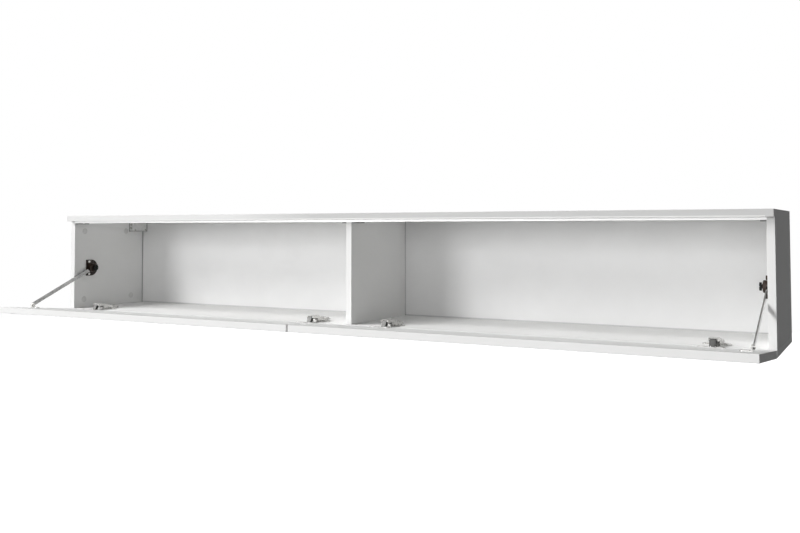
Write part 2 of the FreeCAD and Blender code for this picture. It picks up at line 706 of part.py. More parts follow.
def wall_plate():
    """The right-hand plate: flat on the wall, its top edge set forward as a lip."""
    steel = WALL_PLATE_THICKNESS
    bend_top = LIP_TOP - WALL_PLATE_LIP
    bend_bottom = bend_top - WALL_PLATE_BEND
    corners = [
        (DEPTH, WALL_PLATE_BOTTOM),
        (DEPTH, bend_bottom),
        (wall_lip_rear(), bend_top),
        (wall_lip_rear(), LIP_TOP),
        (wall_lip_rear() - steel, LIP_TOP),
        (wall_lip_rear() - steel, bend_top - steel / 2),
        (DEPTH - steel, bend_bottom - steel / 2),
        (DEPTH - steel, WALL_PLATE_BOTTOM),
    ]
    plate = outline_along_x(corners, WALL_PLATE_INNER, WALL_PLATE_OUTER)
    heights = (LOWER_WALL_HOLE_Z, LOWER_WALL_HOLE_Z + WALL_HOLE_SPACING)
    holes = [rod(WALL_HOLE_RADIUS, point(WALL_HOLE_X, DEPTH - 2 * steel, z), ALONG_Y, 3 * steel)
             for z in heights]
    return cut_all(plate, holes)


# ---------------------------------------------------------------- concealed hinges

def at_hinges(shape):
    """Copies at the right flap's two hinges."""
    return [moved_along_x(shape, x) for x in HINGE_PLACES]


def at_all_hinges(shape):
    right = at_hinges(shape)
    return right + [mirrored(copy) for copy in right]


def cup_pivot(arm_pivot, radius):
    """Where a link meets the closed cup, so that its length is the same closed and open."""
    direction = math.atan2(arm_pivot[1] - AXIS_Z, arm_pivot[0] - AXIS_Y)
    angle = direction - math.radians(FLAP_OPENING / 2)
    return AXIS_Y + radius * math.cos(angle), AXIS_Z + radius * math.sin(angle)


def outer_pivots():
    arm = (OUTER_ARM_PIVOT_Y, OUTER_ARM_PIVOT_Z)
    return arm, cup_pivot(arm, OUTER_CUP_PIVOT_RADIUS)


def inner_pivots():
    arm = (INNER_ARM_PIVOT_Y, INNER_ARM_PIVOT_Z)
    return arm, cup_pivot(arm, INNER_CUP_PIVOT_RADIUS)


def slot_travel(arm, cup):
    """How much nearer the cup's pin comes to the arm's pin half way through the swing."""
    to_axis = math.hypot(arm[0] - AXIS_Y, arm[1] - AXIS_Z)
    cup_radius = math.hypot(cup[0] - AXIS_Y, cup[1] - AXIS_Z)
    length = math.hypot(arm[0] - cup[0], arm[1] - cup[1])
    return length - (to_axis - cup_radius)


def link_outline(arm, cup, side_clearance, half_width):
    """A flat link: round hole at the arm's pin, slot at the cup's pin, flap open."""
    travel = slot_travel(arm, cup)
    length = link_length(arm, cup)
    slot_radius = PIN_RADIUS + side_clearance
    outer = link_place(arm, cup, length + SLOT_END_CLEARANCE - side_clearance)
    inner = link_place(arm, cup, length - travel - SLOT_END_CLEARANCE + side_clearance)
    plate = stadium_along_x(arm, outer, slot_radius + LINK_EDGE, -half_width, half_width)
    slot = stadium_along_x(inner, outer, slot_radius, -half_width, half_width)
    hole = rod(PIN_RADIUS + PIN_CLEARANCE, point(-half_width, *arm), ALONG_X, 2 * half_width)
    return cut_all(plate, [slot, hole])


def link_length(arm, cup):
    end = swung(cup, FLAP_OPENING)
    return math.hypot(end[0] - arm[0], end[1] - arm[1])


def link_place(arm, cup, distance, rearward=0.0):
    """A YZ place so far along an open link from its arm pin, and so far behind its line."""
    end = swung(cup, FLAP_OPENING)
    length = link_length(arm, cup)
    along_y = (end[0] - arm[0]) / length
    along_z = (end[1] - arm[1]) / length
    return (arm[0] + along_y * distance - along_z * rearward,
            arm[1] + along_z * distance + along_y * rearward)


def inner_link():
    """Wide at the arm's pin, with a narrow neck that passes between the cup's lugs."""
    arm, cup = inner_pivots()
    plate = link_outline(arm, cup, INNER_SLOT_CLEARANCE, INNER_LINK_HALF_WIDTH)
    length = link_length(arm, cup)
    radius = INNER_LINK_SHOULDER_RADIUS
    beside_neck = stadium_along_x(link_place(arm, cup, length - INNER_LINK_NECK + radius),
                                  link_place(arm, cup, length + 2 * radius), radius,
                                  INNER_LINK_NECK_HALF_WIDTH, 2 * INNER_LINK_HALF_WIDTH)
    return cut_all(plate, both_sides(beside_neck))


def outer_link():
    """Two cheeks joined by a narrow web behind the arm's pin."""
    arm, cup = outer_pivots()
    whole = link_outline(arm, cup, OUTER_SLOT_CLEARANCE, OUTER_LINK_HALF_WIDTH)
    gap = OUTER_LINK_HALF_WIDTH - OUTER_LINK_CHEEK
    space = block(-gap, gap, -CUP_RADIUS, 2 * CUP_RADIUS, -CUP_RADIUS, 3 * CUP_RADIUS)
    behind = PIN_RADIUS + OUTER_SLOT_CLEARANCE + LINK_EDGE - LINK_WEB_HALF_THICKNESS
    web = stadium_along_x(link_place(arm, cup, LINK_WEB_START, behind),
                          link_place(arm, cup, LINK_WEB_END, behind),
                          LINK_WEB_HALF_THICKNESS, -gap, gap)
    return whole.cut(space).fuse(web).removeSplitter()


def stud_pair(place, outer):
    """Two short rivets, left and right, that leave the middle free for the inner link."""
    rivet = rod(PIN_RADIUS, point(STUD_INNER, *place), ALONG_X, outer - STUD_INNER)
    return both_sides(rivet)


def through_pin(place, half_length):
    return rod(PIN_RADIUS, point(-half_length, *place), ALONG_X, 2 * half_length)


def cup_pins():
    """On the closed flap: rivets in the cup's wall, and a pin between the lugs on its floor."""
    outer_cup = outer_pivots()[1]
    half = math.sqrt(CUP_INNER_RADIUS ** 2 - (CUP_Z - outer_cup[1]) ** 2) + CUP_WALL / 2
    return stud_pair(outer_cup, half) + [through_pin(inner_pivots()[1], LUG_OUTER)]


def arm_pins():
    outer_arm = outer_pivots()[0]
    return stud_pair(outer_arm, ARM_HALF_WIDTH) + [through_pin(inner_pivots()[0], ARM_HALF_WIDTH)]


def cup_lugs():
    """Two ears on the cup's floor that carry the inner link's pin."""
    y, z = inner_pivots()[1]
    radius = PIN_RADIUS + LUG_MARGIN
    ear = block(LUG_INNER, LUG_OUTER, CUP_FLOOR_Y + CUP_WALL / 2, y, z - radius, z + radius)
    eye = rod(radius, point(LUG_INNER, y, z), ALONG_X, LUG_OUTER - LUG_INNER)
    return both_sides(ear.fuse(eye).removeSplitter())


def hinge_cup():
    """A pressed cup with a flange and two screw ears, on the closed flap."""
    outer_radius = CUP_RADIUS - CUP_BORE_CLEARANCE
    shell = rod(outer_radius, point(0, CUP_FLOOR_Y, CUP_Z), ALONG_Y, CUP_DEPTH)
    flange_radius = CUP_RADIUS + CUP_FLANGE_MARGIN
    flange = rod(flange_radius, point(0, FLAP_BOARD, CUP_Z), ALONG_Y, CUP_FLANGE)
    half = CUP_SCREW_SPACING / 2
    ears = [rod(CUP_EAR_RADIUS, point(x, FLAP_BOARD, CUP_SCREW_Z), ALONG_Y, CUP_FLANGE)
            for x in (-half, half)]
    bridge = block(-half, half, FLAP_BOARD, CUP_FLANGE_FACE,
                   CUP_SCREW_Z - CUP_EAR_RADIUS, CUP_SCREW_Z + CUP_EAR_RADIUS)
    solid = shell.multiFuse([flange, bridge] + ears).removeSplitter()
    cavity = rod(CUP_INNER_RADIUS, point(0, CUP_FLOOR_Y + CUP_WALL, CUP_Z), ALONG_Y, 2 * CUP_DEPTH)
    notch = block(-CUP_NOTCH_HALF_WIDTH, CUP_NOTCH_HALF_WIDTH, CUP_FLOOR_Y + CUP_NOTCH_FLOOR,
                  2 * CUP_FLANGE_FACE, -CUP_RADIUS, CUP_NOTCH_HEIGHT)
    solid = cut_all(solid, [cavity, notch]).multiFuse(cup_lugs()).removeSplitter()
    return cut_all(solid, cup_pins() + cup_screws())


def cup_screws(recessed=False):
    return [raised_screw(point(x, CUP_FLANGE_FACE, CUP_SCREW_Z), ALONG_Y * -1, CUP_SCREW_RADIUS,
                         CUP_SCREW_HEAD, CUP_SCREW_HEAD_HEIGHT, CUP_FLANGE + CUP_SCREW_BITE,
                         recessed)
            for x in (-CUP_SCREW_SPACING / 2, CUP_SCREW_SPACING / 2)]


def arm_profile(inset):
    """The arm's side outline, or the outline of the space inside it."""
    nose_y = INNER_ARM_PIVOT_Y - PIN_RADIUS - ARM_NOSE_MARGIN
    return [
        (nose_y, INNER_ARM_PIVOT_Z - PIN_RADIUS - inset),
        (nose_y, ARM_FRONT_HEIGHT - ARM_STEEL - inset),
        (nose_y + ARM_STEEL, ARM_FRONT_HEIGHT - inset),
        (ARM_CROWN_END, ARM_FRONT_HEIGHT - inset),
        (ARM_SLOPE_END, ARM_REAR_HEIGHT - inset),
        (ARM_TAIL_START, ARM_REAR_HEIGHT - inset),
        (ARM_LENGTH, PLATE_FACE + ARM_STEEL - inset),
        (ARM_LENGTH, PLATE_FACE - inset),
        (ARM_HEEL, PLATE_FACE - inset),
        (ARM_HEEL - PLATE_THICKNESS, ARM_THROAT_HEIGHT - inset),
        (INNER_ARM_PIVOT_Y + PIN_RADIUS, ARM_THROAT_HEIGHT - inset),
    ]


def hinge_arm():
    """A pressed steel channel, open below, from the pins to the rear clip."""
    inner = ARM_HALF_WIDTH - ARM_STEEL
    outside = outline_along_x(arm_profile(0.0), -ARM_HALF_WIDTH, ARM_HALF_WIDTH)
    hollow = outline_along_x(arm_profile(ARM_STEEL), -inner, inner)
    front = block(-inner, inner, 0, OUTER_ARM_PIVOT_Y, 0, ARM_FRONT_HEIGHT - ARM_STEEL)
    return cut_all(outside, [hollow, front] + arm_pins() + arm_screws())


def ridge_top():
    return ARM_REAR_HEIGHT - ARM_STEEL


def arm_screw(y, height, recessed):
    """A cross-head screw through the arm's crown into the plate's ridge."""
    head = rod(ARM_SCREW_RADIUS, point(0, y, height), ALONG_Z, ARM_STEEL)
    stem = rod(ARM_SCREW_BORE, point(0, y, ridge_top() - ARM_SCREW_DEPTH), ALONG_Z,
               height - ridge_top() + ARM_SCREW_DEPTH)
    screw = head.fuse(stem).removeSplitter()
    if recessed:
        screw = screw.cut(cross_recess(point(0, y, height + ARM_STEEL), ALONG_Z * -1,
                                       ARM_SCREW_RADIUS, ARM_STEEL * RECESS_DEPTH))
    return screw


def arm_screws(recessed=False):
    """One on the sloping crown, sunk to the ridge's level there, and one on the flat."""
    first = CARCASS_FRONT + ARM_SCREW_FIRST
    slope = (ARM_REAR_HEIGHT - ARM_FRONT_HEIGHT) / (ARM_SLOPE_END - ARM_CROWN_END)
    crown = ARM_FRONT_HEIGHT + slope * (first + ARM_SCREW_RADIUS - ARM_CROWN_END)
    return [arm_screw(first, crown, recessed),
            arm_screw(ARM_SCREW_SECOND, ARM_REAR_HEIGHT, recessed)]


def hinge_mounting_plate():
    """A winged plate on the bottom board, with the ridge that the arm clips over.

    The ridge ends under the start of the arm's tail."""
    half = PLATE_WING_LENGTH / 2
    front = CARCASS_FRONT + RIDGE_FRONT
    wings = block(-PLATE_HALF_WIDTH, PLATE_HALF_WIDTH, PLATE_BORE_Y - half, PLATE_BORE_Y + half,
                  CELL_BOTTOM, PLATE_FACE)
    corner = PLATE_WING_LENGTH / 3
    wings = rounded(wings, corner, lambda box: box.ZLength > PLATE_THICKNESS / 2)
    base = block(-ARM_HALF_WIDTH, ARM_HALF_WIDTH, front, RIDGE_REAR, CELL_BOTTOM, PLATE_FACE)
    ridge = block(-RIDGE_HALF_WIDTH, RIDGE_HALF_WIDTH, front, RIDGE_REAR,
                  CELL_BOTTOM, ridge_top())
    ridge = rounded(ridge, RIDGE_HALF_WIDTH / 4, lambda box: box.ZMin > ridge_top() - EDGE_ROUND)
    solid = wings.multiFuse([base, ridge]).removeSplitter()
    return cut_all(solid, plate_screws() + arm_screws())


def plate_screws(recessed=False):
    """The two screws of one mounting plate."""
    return [raised_screw(point(x, PLATE_BORE_Y, PLATE_FACE), ALONG_Z * -1, PLATE_SCREW_RADIUS,
                         PLATE_SCREW_HEAD, PLATE_SCREW_HEAD_HEIGHT,
                         PLATE_THICKNESS + PLATE_SCREW_BITE, recessed)
            for x in (-PLATE_SCREW_SPACING / 2, PLATE_SCREW_SPACING / 2)]


def hinge_plate_screws(recessed=False):
    return [copy for screw in plate_screws(recessed) for copy in at_all_hinges(screw)]


# ---------------------------------------------------------------- flaps

def flap():
    """The right-hand flap, closed, drilled for its hinge cups and its stay's foot."""
    board = block(FLAP_START, FLAP_END, 0, FLAP_BOARD, 0, FLAP_HEIGHT)
    board = rounded(board, FLAP_ROUND)
    bore = rod(CUP_RADIUS, point(0, CUP_FLOOR_Y, CUP_Z), ALONG_Y, FLAP_BOARD)
    tools = at_hinges(bore)
    for screw in cup_screws():
        tools += at_hinges(screw)
    return cut_all(board, tools + foot_screws())


# ---------------------------------------------------------------- stays

def foot_place():
    return FOOT_Y, FOOT_HEIGHT


def stay_bracket():
    """A folded steel angle: a foot screwed to the flap and an ear that holds the bar's pin."""
    low = FOOT_HEIGHT - FOOT_HALF_LENGTH
    high = FOOT_HEIGHT + FOOT_HALF_LENGTH
    inner = FOOT_EAR_OUTER - FOOT_WIDTH
    foot = block(inner, FOOT_EAR_OUTER, FLAP_BOARD, FLAP_BOARD + FOOT_STEEL, low, high)
    foot = rounded(foot, FOOT_ROUND, lambda box: box.YLength > FOOT_STEEL / 2
                   and box.XMax < inner + EDGE_ROUND)
    ear_radius = BAR_WIDTH / 2
    ear = outline_along_x([
        (FLAP_BOARD, low),
        (FLAP_BOARD + FOOT_STEEL, low),
        (FOOT_Y, FOOT_HEIGHT - ear_radius),
        (FOOT_Y, FOOT_HEIGHT + ear_radius),
        (FLAP_BOARD + FOOT_STEEL, high),
        (FLAP_BOARD, high),
    ], FOOT_EAR_INNER, FOOT_EAR_OUTER)
    eye = rod(ear_radius, point(FOOT_EAR_INNER, *foot_place()), ALONG_X, FOOT_STEEL)
    solid = foot.multiFuse([ear, eye]).removeSplitter()
    return cut_all(solid, [foot_pin()] + foot_screws())


def foot_pin():
    """A rivet through the ear and the bar, with a head at each end."""
    outer = BAR_OUTER + BAR_SIDE_CLEARANCE
    y, z = foot_place()
    shank = rod(FOOT_PIN_RADIUS, point(FOOT_EAR_INNER, y, z), ALONG_X, outer - FOOT_EAR_INNER)
    heads = [
        rod(FOOT_PIN_HEAD_RADIUS, point(FOOT_EAR_INNER - FOOT_PIN_HEAD, y, z), ALONG_X,
            FOOT_PIN_HEAD),
        rod(FOOT_PIN_HEAD_RADIUS, point(outer, y, z), ALONG_X, FOOT_PIN_HEAD),
    ]
    return shank.multiFuse(heads).removeSplitter()


def foot_screws(recessed=False):
    """Both screws of the right-hand stay's foot, on the closed flap."""
    face = FLAP_BOARD + FOOT_STEEL
    first = FOOT_EAR_OUTER - FOOT_WIDTH + FOOT_SCREW_INSET
    return [raised_screw(point(x, face, FOOT_HEIGHT), ALONG_Y * -1, FOOT_SCREW_RADIUS,
                         FOOT_SCREW_HEAD, FOOT_SCREW_HEAD_HEIGHT, FOOT_STEEL + FOOT_SCREW_BITE,
                         recessed)
            for x in (first, first + FOOT_SCREW_SPACING)]


def bar_angle():
    """The open bar's slope, with the bar just under the brake's middle."""
    y, z = swung(foot_place(), FLAP_OPENING)
    distance = math.hypot(BRAKE_Y - y, BRAKE_Z - z)
    return math.atan2(BRAKE_Z - z, BRAKE_Y - y) - math.asin(BAR_WANDER / distance)


def stay_bar():
    """A flat bar from the foot's pin through the brake, with the flap open."""
    start = swung(foot_place(), FLAP_OPENING)
    length = math.hypot(BRAKE_Y - start[0], BRAKE_Z - start[1]) + BAR_TAIL
    end = (start[0] + length * math.cos(bar_angle()), start[1] + length * math.sin(bar_angle()))
    bar = stadium_along_x(start, end, BAR_WIDTH / 2, BAR_INNER, BAR_OUTER)
    hole = rod(FOOT_PIN_RADIUS + PIN_CLEARANCE, point(BAR_INNER, *start), ALONG_X, BAR_THICKNESS)
    return bar.cut(hole)


def brake_drum():
    """A round brake that turns on the base plate, with a slot that the bar slides through."""
    start = point(BRAKE_INNER, BRAKE_Y, BRAKE_Z)
    drum = rod(BRAKE_RADIUS, start, ALONG_X, BRAKE_WIDTH)
    drum = drum.makeChamfer(BRAKE_BEVEL, [edge for edge in drum.Edges
                                          if edge.BoundBox.XMax < BRAKE_INNER + EDGE_ROUND])
    half = BAR_WIDTH / 2 + BAR_WANDER + BAR_EDGE_CLEARANCE
    slot = block(BAR_INNER - BAR_SIDE_CLEARANCE, BAR_OUTER + BAR_SIDE_CLEARANCE,
                 BRAKE_Y - 2 * BRAKE_RADIUS, BRAKE_Y + 2 * BRAKE_RADIUS,
                 BRAKE_Z - half, BRAKE_Z + half)
    slot.rotate(point(0, BRAKE_Y, BRAKE_Z), ALONG_X, math.degrees(bar_angle()))
    spigot = rod(BRAKE_SPIGOT_RADIUS + PIN_CLEARANCE, point(BAR_OUTER, BRAKE_Y, BRAKE_Z), ALONG_X,
                 BRAKE_WIDTH)
    stem = rod(KNOB_STEM_RADIUS + PIN_CLEARANCE, start, ALONG_X,
               KNOB_STEM_LENGTH + BRAKE_RUNNING_GAP)
    return cut_all(drum, [slot, spigot, stem])


def brake_knob():
    """The disc that sets the brake: scalloped rim, screwdriver slot, neck, stem in the drum."""
    inner = KNOB_OUTER - KNOB_STANDOFF - KNOB_WIDTH
    disc = rod(KNOB_RADIUS, point(inner, BRAKE_Y, BRAKE_Z), ALONG_X, KNOB_WIDTH)
    neck = rod(KNOB_NECK_RADIUS, point(inner, BRAKE_Y, BRAKE_Z), ALONG_X,
               KNOB_WIDTH + KNOB_STANDOFF)
    stem = rod(KNOB_STEM_RADIUS, point(KNOB_OUTER, BRAKE_Y, BRAKE_Z), ALONG_X,
               KNOB_STEM_LENGTH + BRAKE_RUNNING_GAP / 2)
    tools = [block(inner, inner + KNOB_SLOT_DEPTH, BRAKE_Y - KNOB_RADIUS, BRAKE_Y + KNOB_RADIUS,
                   BRAKE_Z - KNOB_SLOT_WIDTH / 2, BRAKE_Z + KNOB_SLOT_WIDTH / 2)]
    for number in range(KNOB_GRIPS):
        angle = 2 * math.pi * (number + 0.5) / KNOB_GRIPS
        y = BRAKE_Y + (KNOB_RADIUS + KNOB_GRIP_RADIUS / 2) * math.cos(angle)
        z = BRAKE_Z + (KNOB_RADIUS + KNOB_GRIP_RADIUS / 2) * math.sin(angle)
        tools.append(rod(KNOB_GRIP_RADIUS, point(inner, y, z), ALONG_X, KNOB_WIDTH))
    return cut_all(disc.multiFuse([neck, stem]).removeSplitter(), tools)


def stay_base_plate():
    """A D-shaped plate, straight at the front, with screw bosses and the brake's spigot."""
    half = STAY_PLATE_HEIGHT / 2
    shoulder = STAY_PLATE_FRONT + STAY_PLATE_SHOULDER
    flat = block(STAY_PLATE_FACE, SIDE_INNER, STAY_PLATE_FRONT, shoulder,
                 BRAKE_Z - half, BRAKE_Z + half)
    curve = rod(half, point(STAY_PLATE_FACE, shoulder, BRAKE_Z), ALONG_X, STAY_PLATE_THICKNESS)
    front_part = block(STAY_PLATE_FACE, SIDE_INNER, 0, STAY_PLATE_FRONT,
                       BRAKE_Z - STAY_PLATE_HEIGHT, BRAKE_Z + STAY_PLATE_HEIGHT)
    spigot = rod(BRAKE_SPIGOT_RADIUS, point(STAY_PLATE_FACE - BRAKE_SPIGOT_LENGTH, BRAKE_Y, BRAKE_Z),
                 ALONG_X, BRAKE_SPIGOT_LENGTH)
    bosses = [rod(STAY_BOSS_RADIUS, place, ALONG_X, STAY_BOSS_HEIGHT)
              for place in stay_screw_places()]
    solid = flat.multiFuse([curve.cut(front_part), spigot] + bosses).removeSplitter()
    return cut_all(solid, stay_screws()[:2])


def stay_screw_places():
    """The middles of the right-hand screws' heads, on top of the bosses."""
    y = STAY_PLATE_FRONT + STAY_SCREW_SETBACK
    offset = STAY_PLATE_HEIGHT / 2 - STAY_SCREW_INSET
    return [point(STAY_PLATE_FACE - STAY_BOSS_HEIGHT, y, z)
            for z in (BRAKE_Z - offset, BRAKE_Z + offset)]


def stay_screws(recessed=False):
    """Right-hand pair, then the left-hand pair."""
    length = STAY_BOSS_HEIGHT + STAY_PLATE_THICKNESS + STAY_SCREW_BITE
    right = [countersunk_screw(place, ALONG_X, STAY_SCREW_RADIUS, STAY_SCREW_HEAD, length,
                               recessed)
             for place in stay_screw_places()]
    return right + [mirrored(screw) for screw in right]


# ---------------------------------------------------------------- assembly

def carcass_nodes():
    trim_start = BOARD / 2
    nodes = {
        "top_panel": [top_panel()],
        "bottom_panel": [bottom_panel()],
        "divider_panel": [divider_panel()],
        "back_panel_joiner": [back_panel_joiner()],
        "left_front_trim": [front_trim(-SIDE_INNER, -trim_start)],
        "right_front_trim": [front_trim(-trim_start, SIDE_INNER)],
        "cam_locks": for_each_cam(cam_lock),
        "cam_bolts": for_each_cam(cam_bolt),
        "cam_covers": for_each_cam(cam_cover),
        "dowels": [dowel(x, y, way) for x in upright_middles() for y, way in dowel_places()],
        "corner_blocks": at_cell_corners(corner_block()),
        "corner_block_screws": block_side_screws(True) + block_top_screws(True),
    }
    right_side = side_panel()
    right_back = back_panel()
    nodes["right_side_panel"] = [right_side]
    nodes["left_side_panel"] = [mirrored(right_side)]
    nodes["right_back_panel"] = [right_back]
    nodes["left_back_panel"] = [mirrored(right_back)]
    return nodes


def hanger_nodes():
    return {
        "hanger_housings": both_sides(hanger_housing()),
        "hanger_hooks": both_sides(hanger_hook()),
        "hanger_adjusting_screws": [copy for screw in adjusters() for copy in both_sides(screw)],
        "hanger_fixing_screws": hanger_screws(True),
        "wall_plates": both_sides(wall_plate()),
    }


def hinge_nodes():
    nodes = {
        "hinge_mounting_plates": at_all_hinges(hinge_mounting_plate()),
        "hinge_arms": at_all_hinges(hinge_arm()),
        "hinge_arm_pins": [copy for pin in arm_pins() for copy in at_all_hinges(pin)],
        "hinge_arm_screws": [copy for screw in arm_screws(True) for copy in at_all_hinges(screw)],
        "hinge_plate_screws": hinge_plate_screws(True),
    }
    right = {
        "hinge_outer_links": at_hinges(outer_link()),
        "hinge_inner_links": at_hinges(inner_link()),
        "hinge_cups": [opened(copy) for copy in at_hinges(hinge_cup())],
        "hinge_cup_pins": [opened(copy) for pin in cup_pins() for copy in at_hinges(pin)],
        "hinge_cup_screws": [opened(copy) for screw in cup_screws(True)
                             for copy in at_hinges(screw)],
    }
    return {**nodes, **left_and_right(right)}


def flap_nodes():
    return left_and_right({"flap": [opened(flap())]})


def stay_nodes():
    nodes = {
        "stay_base_plates": both_sides(stay_base_plate()),
        "stay_base_screws": stay_screws(True),
    }
    right = {
        "stay_bar": [stay_bar()],
        "stay_brake_drum": [brake_drum()],
        "stay_brake_knob": [brake_knob()],
        "stay_bracket": [opened(stay_bracket())],
        "stay_bracket_pin": [opened(foot_pin())],
        "stay_bracket_screws": [opened(screw) for screw in foot_screws(True)],
    }
    return {**nodes, **left_and_right(right)}


def left_and_right(right_nodes):
    """Name each right-hand node and add its mirror image on the left."""
    nodes = {}
    for name, solids in right_nodes.items():
        nodes["right_" + name] = solids
        nodes["left_" + name] = [mirrored(solid) for solid in solids]
    return nodes


def export(nodes):
    os.makedirs("parts", exist_ok=True)
    for name, solids in nodes.items():
        shape = solids[0] if len(solids) == 1 else Part.Compound(solids)
        shape = shape.copy()
        shape.translate(ORIGIN * -1)
        shape.exportStep(os.path.join("parts", name + ".step"))
        print(name, len(shape.Solids), "solids")


export({**carcass_nodes(), **hanger_nodes(), **hinge_nodes(), **flap_nodes(), **stay_nodes()})
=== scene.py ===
"""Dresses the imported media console: its materials, the studio light and the camera.

Lengths are in metres and angles in degrees, where nothing else is said."""
import math
from typing import NamedTuple

import bpy
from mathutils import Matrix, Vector


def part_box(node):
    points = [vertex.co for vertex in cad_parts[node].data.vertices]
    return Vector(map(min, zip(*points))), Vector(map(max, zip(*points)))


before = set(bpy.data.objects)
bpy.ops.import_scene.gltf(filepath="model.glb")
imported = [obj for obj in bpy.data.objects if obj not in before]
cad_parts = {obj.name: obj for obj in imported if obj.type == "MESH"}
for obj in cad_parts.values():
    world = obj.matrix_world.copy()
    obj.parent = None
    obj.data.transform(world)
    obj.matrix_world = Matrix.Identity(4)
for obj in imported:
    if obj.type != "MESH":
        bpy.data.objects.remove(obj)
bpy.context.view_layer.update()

MM = 0.001


# ---------------------------------------------------------------- camera

# Solved from the console's corners in the image: the first four are in its pixels
IMAGE_WIDTH = 800
IMAGE_HEIGHT = 533
FOCAL_PIXELS = 899.12
PRINCIPAL_Y = 189.675
CAMERA_PLACE = (1.2082, -2.2207, 0.0163)
CAMERA_PITCH = 2.485
CAMERA_YAW = 28.782
CAMERA_ROLL = 0.04

# Pitch at which a camera looks level, in Blender's turns
LEVEL = 90.0

# Width of the sensor in millimetres, and the distances between which things are seen
SENSOR_WIDTH = 36.0
NEAREST_SEEN = 0.01
FARTHEST_SEEN = 100.0


# ---------------------------------------------------------------- light and floor

WHITE = (1.0, 1.0, 1.0)

# Strength of the white surroundings on the surfaces, where the camera sees them at 1
AMBIENT = 0.01

FLOOR_GREY = (0.22, 0.22, 0.22)
FLOOR_ROUGHNESS = 0.9
FLOOR_Z = -1.5
FLOOR_HALF = 12.0

# Glow of the floor's middle as the camera sees it, and the distances at which it starts to
# rise and is fully white
FLOOR_GLOW = 0.93
FLOOR_FADE = (2.5, 5.0)

LAMP_TARGET = (0.0, -0.2, -0.1)
LAMP_DISTANCE = 18.0
LAMP_SIZE = 5.0


class Lamp(NamedTuple):
    """A softbox: degrees to the right of the front, degrees up, and watts."""
    name: str
    azimuth: float
    elevation: float
    power: float


LAMPS = (
    Lamp("high_key", -60.0, 40.0, 1800.0),
    Lamp("middle_key", -40.0, 30.0, 1190.0),
    Lamp("low_key", -30.0, 8.0, 820.0),
    Lamp("front_fill", 0.0, 8.0, 220.0),
    Lamp("right_fill", 20.0, 8.0, 210.0),
    Lamp("back_fill", -165.0, 10.0, 1250.0),
)


# ---------------------------------------------------------------- colours, linear

BOARD_WHITE = (0.90, 0.90, 0.895)
BOARD_SHADE = (0.88, 0.88, 0.87)
BAND_GREY = (0.64, 0.64, 0.635)
# The edge band's lighter tone is painted light, for its left end
BAND_PAINTED_LIGHT = (0.83, 0.83, 0.825)
TRIM_WHITE = (0.95, 0.95, 0.95)
TRIM_SHADE = (0.93, 0.93, 0.925)
SHEET_WHITE = (0.89, 0.89, 0.89)
PLASTIC_WHITE = (0.88, 0.88, 0.87)
COVER_WHITE = (0.78, 0.78, 0.77)
# The corner blocks' dark grey is partly their plastic and partly painted shade for the dark marks
# under the trim
BLOCK_PAINTED_SHADE_GREY = (0.26, 0.26, 0.26)
BROWN = (0.035, 0.022, 0.016)
BLACK = (0.012, 0.012, 0.012)
NICKEL = (0.60, 0.595, 0.58)
CUP_NICKEL = (0.56, 0.555, 0.545)
BAR_STEEL = (0.42, 0.42, 0.415)
# Near black: painted shade for the dark gaps between the hinge links
LINK_PAINTED_SHADE_STEEL = (0.09, 0.09, 0.088)
ZINC = (0.58, 0.59, 0.60)
SCREW_STEEL = (0.72, 0.71, 0.69)
BEECH = (0.60, 0.40, 0.23)


# ---------------------------------------------------------------- surfaces

class Texture(NamedTuple):
    """A noise texture: its scale, its detail and its stretch along X, Y and Z."""
    scale: float
    detail: float = 3.0
    stretch: tuple = (1.0, 1.0, 1.0)


class Finish(NamedTuple):
    """How a surface varies: a cloud in its colour, a sheen in its roughness, a raised grain."""
    cloud: Texture
    sheen: Texture
    # How far the sheen raises the roughness
    sheen_span: float
    # The darker tone as a share of the colour, and the cloud's values where each tone is full
    dark_share: float = 1.0
    cloud_ends: tuple = (0.35, 0.65)
    # The grain, how strongly it shows and how high it stands
    grain: Texture = None
    grain_strength: float = 0.0
    grain_height: float = 0.0


# Pressed melamine with a fine pore
MELAMINE = Finish(
    cloud=Texture(5.0, 4.0),
    sheen=Texture(30.0), sheen_span=0.12,
    grain=Texture(900.0, 2.0, (0.35, 1.0, 1.0)), grain_strength=0.12, grain_height=0.2 * MM)

# Lacquered hardboard with a weak felt pattern
LACQUER = Finish(
    cloud=Texture(9.0, 5.0), dark_share=0.97,
    sheen=Texture(60.0), sheen_span=0.13,
    grain=Texture(450.0), grain_strength=0.10, grain_height=0.2 * MM)

# Moulded plastic with an even fine texture
MOULDED = Finish(
    cloud=Texture(60.0, 4.0), dark_share=0.88,
    sheen=Texture(220.0), sheen_span=0.12,
    grain=Texture(1400.0, 2.0), grain_strength=0.25, grain_height=0.1 * MM)

# Metal with a little tarnish, small smudges and fine lines along X
PLATED = Finish(
    cloud=Texture(70.0, 5.0), dark_share=0.72, cloud_ends=(0.3, 0.55),
    sheen=Texture(140.0, 4.0), sheen_span=0.16,
    grain=Texture(1600.0, 2.0, (0.05, 1.0, 1.0)), grain_strength=0.15, grain_height=0.1 * MM)

# The same on the bars, which lie across X: the lines follow their length
DRAWN = PLATED._replace(grain=Texture(1600.0, 2.0, (1.0, 0.05, 0.05)))

# Bare wood with its fibres along Z
BARE_WOOD = Finish(
    cloud=Texture(300.0, 4.0, (1.0, 1.0, 0.12)), dark_share=0.7,
    sheen=Texture(200.0), sheen_span=0.20)

BOARD_ROUGHNESS = 0.66
BOARD_GLOSS = 0.08
TRIM_ROUGHNESS = 0.36
TRIM_GLOSS = 1.0
TRIM_METALLIC = 0.35
TRIM_COAT = 1.0
TRIM_COAT_ROUGHNESS = 0.24
SHEET_ROUGHNESS = 0.42
PLASTIC_ROUGHNESS = 0.42
PLASTIC_GLOSS = 0.5
BEECH_ROUGHNESS = 0.55


class Plastic(NamedTuple):
    """A moulded plastic and the endings of the names of the nodes made of it."""
    name: str
    colour: tuple
    roughness: float
    gloss: float
    endings: tuple


